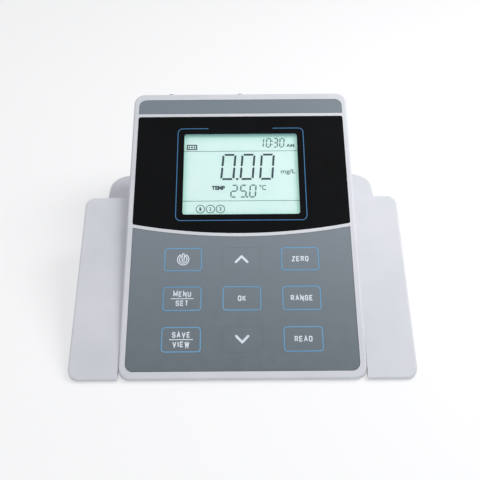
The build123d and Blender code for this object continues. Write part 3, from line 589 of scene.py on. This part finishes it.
def text(bm, words, size, middle, weight):
    """Words fitted into a box of that size, their font thickened by the weight."""
    curve = bpy.data.curves.new("words", "FONT")
    curve.body = words
    curve.offset = weight
    curve.extrude = 0.5
    source = bpy.data.objects.new("words", curve)
    bpy.context.scene.collection.objects.link(source)
    bpy.context.view_layer.update()
    mesh = bpy.data.meshes.new_from_object(source.evaluated_get(bpy.context.evaluated_depsgraph_get()))
    bpy.data.objects.remove(source)
    bpy.data.curves.remove(curve)
    for axis in (0, 1):
        places = [vertex.co[axis] for vertex in mesh.vertices]
        low, span = min(places), max(places) - min(places)
        for vertex in mesh.vertices:
            vertex.co[axis] = ((vertex.co[axis] - low) / span - 0.5) * size[axis] + middle[axis]
    for vertex in mesh.vertices:
        vertex.co.z = INK_THICK if vertex.co.z > 0 else -INK_SINK
    bm.from_mesh(mesh)
    bpy.data.meshes.remove(mesh)


def lay(name, draw, place, body, ink):
    """Make a piece that rides on a body from what `draw` puts into a mesh."""
    drawing = bmesh.new()
    draw(drawing)
    bmesh.ops.remove_doubles(drawing, verts=drawing.verts, dist=1e-5)
    bmesh.ops.recalc_face_normals(drawing, faces=drawing.faces)
    mesh = bpy.data.meshes.new(name)
    drawing.to_mesh(mesh)
    drawing.free()
    mesh.transform(place)
    mesh.materials.append(materials[ink])
    made = bpy.data.objects.new(name, mesh)
    bpy.context.scene.collection.objects.link(made)
    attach(made, body)


# Legends of the keys
def power_mark(bm):
    """Broken ring and bar, drawn as outlines."""
    top = 90
    start, end = top + POWER_OPENING, top + 360 - POWER_OPENING
    outer = arc((0, 0), POWER_OUTER, start, end, 36)
    inner = arc((0, 0), POWER_INNER, end, start, 30)
    stroke(bm, outer + inner, POWER_LINE, closed=True)
    high = arc((0, POWER_BAR_TOP - POWER_BAR_HALF), POWER_BAR_HALF, 0, 180, 8)
    low = arc((0, POWER_BAR_LOW - POWER_BAR_HALF), POWER_BAR_HALF, 180, 360, 8)
    stroke(bm, high + low, POWER_LINE, closed=True)


def chevron(bm, way):
    """Arrow head with round ends that points up the face, or down with way -1."""
    half, rise, radius = CHEVRON_HALF, CHEVRON_RISE / 2, CHEVRON_LINE / 2
    lean = math.degrees(math.atan2(CHEVRON_RISE, half))
    inner = radius / math.cos(math.radians(lean))
    points = arc((half, -rise), radius, -90 - lean, 90 - lean, 8)
    points += arc((0, rise), radius, 90 - lean, 90 + lean, 6)
    points += arc((-half, -rise), radius, 90 + lean, 270 + lean, 8)
    points.append((0, rise - inner))
    prism(bm, [(x, way * y) for x, y in points])


def letter_strokes(letter, width, height):
    """Lines of one narrow capital, placed from its lower left corner by shares of its size."""
    corner = LEGEND_ROUND
    half, middle, far, top = width / 2, height / 2, width - corner, height - corner
    high_left, high_right = arc((corner, top), corner, 180, 90, 5), arc((far, top), corner, 90, 0, 5)
    low_right, low_left = arc((far, corner), corner, 0, -90, 5), arc((corner, corner), corner, 270, 180, 5)
    bowl = arc((far, middle + corner), corner, 0, -90, 5)
    back = arc((corner, middle + corner), corner, 180, 270, 5)
    back += arc((far, middle - corner), corner, 90, 0, 5)
    hook = corner * 1.4
    over_top = [(width, height - hook)] + high_right[::-1] + high_left[::-1]
    under_bottom = low_left[::-1] + low_right[::-1]
    arm, leg, bar = width * 0.85, width * 0.4, height * 0.3
    lines = {
        "A": [[(0, 0), (half, height), (width, 0)], [(width * 0.2, bar), (width * 0.8, bar)]],
        "D": [[(0, 0), (0, height)] + high_right + low_right + [(0, 0)]],
        "E": [[(width, height), (0, height), (0, 0), (width, 0)], [(0, middle), (arm, middle)]],
        "G": [over_top + under_bottom + [(width, middle), (half, middle)]],
        "I": [[(half, height), (half, 0)]],
        "K": [[(0, height), (0, 0)], [(width, height), (0, height * 0.42)],
              [(width * 0.3, height * 0.55), (width, 0)]],
        "M": [[(0, 0), (0, height), (half, bar), (width, height), (width, 0)]],
        "N": [[(0, 0), (0, height), (width, 0), (width, height)]],
        "O": [high_left + high_right + low_right + low_left + [(0, top)]],
        "R": [[(0, 0), (0, height)] + high_right + bowl + [(0, middle)], [(leg, middle), (width, 0)]],
        "S": [over_top + back + low_right + low_left + [(0, hook)]],
        "T": [[(0, height), (width, height)], [(half, height), (half, 0)]],
        "U": [[(0, height)] + under_bottom + [(width, height)]],
        "V": [[(0, height), (half, 0), (width, height)]],
        "W": [[(0, height), (width * 0.24, 0), (half, height * 0.8), (width * 0.76, 0), (width, height)]],
        "Z": [[(0, height), (width, height), (0, 0), (width, 0)]],
    }
    return lines[letter]


def words_legend(bm, *rows):
    """One row of words in the middle, or two with a rule between them."""
    height = LEGEND_HEIGHT - LEGEND_LINE
    for place, words in enumerate(rows):
        lift = LEGEND_LIFT * (1 - 2 * place) if len(rows) > 1 else 0
        widths = [LEGEND_LETTER * LETTER_WIDTHS.get(letter, 1.0) for letter in words]
        left = -(sum(widths) + (LEGEND_SPACE + LEGEND_LINE) * (len(words) - 1)) / 2
        low = lift - height / 2
        for letter, width in zip(words, widths):
            for line in letter_strokes(letter, width, height):
                stroke(bm, [(left + x, low + y) for x, y in line], LEGEND_LINE)
            left += width + LEGEND_SPACE + LEGEND_LINE
    if len(rows) > 1:
        half = LEGEND_RULE / 2
        stroke(bm, [(-half, 0), (half, 0)], LEGEND_RULE_LINE)


def key_outline(bm):
    half_width, half_height = KEY_LINE_WIDTH / 2, KEY_LINE_HEIGHT / 2
    outline = rounded_box(-half_width, -half_height, half_width, half_height, KEY_LINE_CORNER)
    stroke(bm, outline, KEY_LINE, closed=True)


KEY_LEGENDS = {
    "key_power": power_mark,
    "key_menu": lambda bm: words_legend(bm, "MENU", "SET"),
    "key_memory": lambda bm: words_legend(bm, "SAVE", "VIEW"),
    "key_up": lambda bm: chevron(bm, 1),
    "key_ok": lambda bm: words_legend(bm, "OK"),
    "key_down": lambda bm: chevron(bm, -1),
    "key_zero": lambda bm: words_legend(bm, "ZERO"),
    "key_range": lambda bm: words_legend(bm, "RANGE"),
    "key_read": lambda bm: words_legend(bm, "READ"),
}

for key, draw in KEY_LEGENDS.items():
    place = face_place(*centre_of(key))
    lay(f"{key}_legend", draw, place, key, "ink_white")
    if key not in ("key_up", "key_down"):
        lay(f"{key}_line", key_outline, place, key, "ink_blue")


# What is printed and shown round and on the display
def display_line(bm):
    """Blue line from one side of the gap at its top round to the other."""
    loop = rounded_box(-FRAME_HALF, FRAME_LOW, FRAME_HALF, FRAME_HIGH, FRAME_CORNER)
    path = loop[CORNER_STEPS + 1:] + loop[:CORNER_STEPS + 1]
    stroke(bm, [(-FRAME_GAP_HALF, FRAME_HIGH)] + path + [(FRAME_GAP_HALF, FRAME_HIGH)], FRAME_LINE)


def digit(bm, figure, middle, width, height, line):
    """Slanted seven-segment figure; width and height run between segment centres."""
    gap, cut, nose = line * SEGMENT_GAP, line * SEGMENT_CUT, line * SEGMENT_NOSE
    shoulder_x, shoulder_y = [line * share for share in SEGMENT_SHOULDER]
    half = line / 2
    out_x, out_y = width / 2 + half, height / 2 + half
    in_x, in_y = width / 2 - half, height / 2 - half
    flat = [
        (-out_x + cut + gap, out_y), (out_x - cut - gap, out_y), (in_x - gap, in_y), (-in_x + gap, in_y),
    ]
    upright = [
        (out_x, gap + nose), (out_x, out_y - cut - gap), (out_x - shoulder_x, out_y - shoulder_y - gap),
        (in_x, in_y - gap), (in_x, gap + half), (in_x + half, gap),
    ]
    middle_bar = [
        (-in_x + gap, half), (in_x - gap, half), (in_x + half - gap, 0),
        (in_x - gap, -half), (-in_x + gap, -half), (-in_x - half + gap, 0),
    ]
    shapes = {
        "a": flat, "d": [(x, -y) for x, y in flat], "g": middle_bar,
        "b": upright, "c": [(x, -y) for x, y in upright],
        "f": [(-x, y) for x, y in upright], "e": [(-x, -y) for x, y in upright],
    }
    for segment in SEGMENTS[figure]:
        prism(bm, [(middle[0] + x + DIGIT_LEAN * y, middle[1] + y) for x, y in shapes[segment]])


def digits(bm, row, places, size):
    for figure, across in places:
        digit(bm, figure, (across, row), *size)


def dot(bm, middle, size):
    x, y, half = *middle, size / 2
    prism(bm, [(x - half, y - half), (x + half, y - half), (x + half, y + half), (x - half, y + half)])


def reading(bm):
    digits(bm, READING_ROW, READING_PLACES, READING_SIZE)
    dot(bm, *READING_DOT)


def small_figures(bm):
    """Temperature, clock, unit and ringed figures."""
    digits(bm, TEMPERATURE_ROW, TEMPERATURE_PLACES, TEMPERATURE_SIZE)
    digits(bm, CLOCK_ROW, CLOCK_PLACES, CLOCK_SIZE)
    for point in (TEMPERATURE_DOT, *CLOCK_COLON):
        dot(bm, *point)
    for words in SOFT_WORDS:
        text(bm, *words)
    last_turn = 360 * (RING_STEPS - 1) / RING_STEPS
    for figure, across in RING_PLACES:
        ring = arc((across, RING_ROW), RING_RADIUS, 0, last_turn, RING_STEPS - 1)
        stroke(bm, ring, RING_LINE, closed=True)
        text(bm, figure, RING_FIGURE, (across, RING_ROW), RING_FIGURE_WEIGHT)


def marks(bm):
    for words in DARK_WORDS:
        text(bm, *words)


def rules(bm):
    """Two lines over the whole width of the window."""
    across = face_box("display_pane")[0]
    half = (across[1] - across[0]) / 2 / MM
    for row in RULE_ROWS:
        stroke(bm, [(-half, row), (half, row)], RULE_LINE)


def icon(bm):
    """Battery: an outlined box with three bars in it."""
    x, y = ICON_MIDDLE
    left, right = x - ICON_SIZE[0] / 2, x + ICON_SIZE[0] / 2
    low, high = y - ICON_SIZE[1] / 2, y + ICON_SIZE[1] / 2
    stroke(bm, [(left, low), (right, low), (right, high), (left, high)], ICON_LINE, closed=True)
    for offset in ICON_BARS:
        middle = x + offset
        stroke(bm, [(middle - ICON_BAR_HALF, y), (middle + ICON_BAR_HALF, y)], ICON_BAR_HEIGHT)


window_across, window_up, _ = centre_of("display_pane")
panel_out = face_box("display_panel")[2][1]
glass_out = face_box("lcd_glass")[2][1]
panel_place = face_place(window_across, window_up, panel_out)
glass_place = face_place(window_across, window_up, glass_out)
lay("display_line", display_line, panel_place, "meter", "ink_frame")
for name, draw, ink in (
    ("display_reading", reading, "ink_display"),
    ("display_small_figures", small_figures, "ink_display_soft"),
    ("display_marks", marks, "ink_display"),
    ("display_rules", rules, "ink_display_soft"),
    ("display_icon", icon, "ink_display"),
):
    lay(name, draw, glass_place, "meter", ink)


# Stage: pale floor, soft light and a white surround
def seen_directly(tree):
    """1 for rays that reach the eye straight, by a mirror or through glass."""
    path = tree.nodes.new("ShaderNodeLightPath")
    total = path.outputs["Is Camera Ray"]
    for ray in ("Is Glossy Ray", "Is Transmission Ray"):
        total = math_node(tree, "MAXIMUM", total, path.outputs[ray])
    return total


def floor_material():
    """Matt pale surface that glows a little, so that it comes near to white."""
    made, tree, shader = new_material("floor")
    patch = remap(tree, noise(tree, size=400.0, detail=3.0), 0.0, 1.0)
    tree.links.new(blend_colours(tree, patch, FLOOR_PALE, FLOOR_PALE_DARK), shader.inputs["Base Color"])
    shader.inputs["Roughness"].default_value = 0.9
    shader.inputs["Specular IOR Level"].default_value = 0.1
    add_bump(tree, shader, [(noise(tree, size=2.0, detail=2.0), 0.05, 0.1)])
    white = tree.nodes.new("ShaderNodeEmission")
    share = math_node(tree, "MULTIPLY", seen_directly(tree), FLOOR_GLOW)
    blend_shaders(tree, share, shader.outputs["BSDF"], white.outputs["Emission"],
                  tree.nodes["Material Output"])
    return made


def add_floor():
    mesh = bpy.data.meshes.new("floor")
    half = FLOOR_SIZE / 2
    corners = [(-half, -half, 0), (half, -half, 0), (half, half, 0), (-half, half, 0)]
    mesh.from_pydata(corners, [], [(0, 1, 2, 3)])
    mesh.materials.append(floor_material())
    floor = bpy.data.objects.new("floor", mesh)
    bpy.context.scene.collection.objects.link(floor)


def add_room():
    """Dim room light on the meter, and white wherever the room itself is seen."""
    world = bpy.data.worlds.new("studio")
    bpy.context.scene.world = world
    world.use_nodes = True
    tree = world.node_tree
    room = tree.nodes["Background"]
    room.inputs["Color"].default_value = ROOM_COLOUR
    room.inputs["Strength"].default_value = ROOM_STRENGTH
    white = tree.nodes.new("ShaderNodeBackground")
    white.inputs["Color"].default_value = WHITE
    white.inputs["Strength"].default_value = 1.0
    blend_shaders(tree, seen_directly(tree), room.outputs["Background"], white.outputs["Background"],
                  tree.nodes["World Output"])


def add_lamp(name, place, size, power, colour):
    """Square soft light that points at the middle of the meter."""
    lamp = bpy.data.lights.new(name, "AREA")
    lamp.shape = "SQUARE"
    lamp.size = size
    lamp.energy = power
    lamp.color = colour
    made = bpy.data.objects.new(name, lamp)
    made.location = place
    made.rotation_euler = (LAMPS_POINT_AT - Vector(place)).to_track_quat("-Z", "Y").to_euler()
    bpy.context.scene.collection.objects.link(made)


def add_camera():
    """Camera turned by its yaw and pitch, then rolled about the way it looks."""
    data = bpy.data.cameras.new("camera")
    data.sensor_width = SENSOR
    data.lens = FOCAL_PIXELS * SENSOR / PHOTO_SIZE
    data.clip_start = CAMERA_NEAREST
    ahead = Vector((
        math.sin(CAMERA_YAW) * math.cos(CAMERA_PITCH),
        math.cos(CAMERA_YAW) * math.cos(CAMERA_PITCH),
        -math.sin(CAMERA_PITCH),
    ))
    level = Vector((math.cos(CAMERA_YAW), -math.sin(CAMERA_YAW), 0))
    above = level.cross(ahead)
    right = level * math.cos(CAMERA_ROLL) + above * math.sin(CAMERA_ROLL)
    top = above * math.cos(CAMERA_ROLL) - level * math.sin(CAMERA_ROLL)
    turn = Matrix((right, top, -ahead)).transposed().to_4x4()
    camera = bpy.data.objects.new("camera", data)
    camera.matrix_world = Matrix.Translation(CAMERA_PLACE) @ turn
    bpy.context.scene.collection.objects.link(camera)
    bpy.context.scene.camera = camera


add_floor()
add_room()
for name, (place, size, power, colour) in LAMPS.items():
    add_lamp(name, place, size, power, colour)
add_camera()
bpy.context.scene.view_settings.view_transform = "Standard"
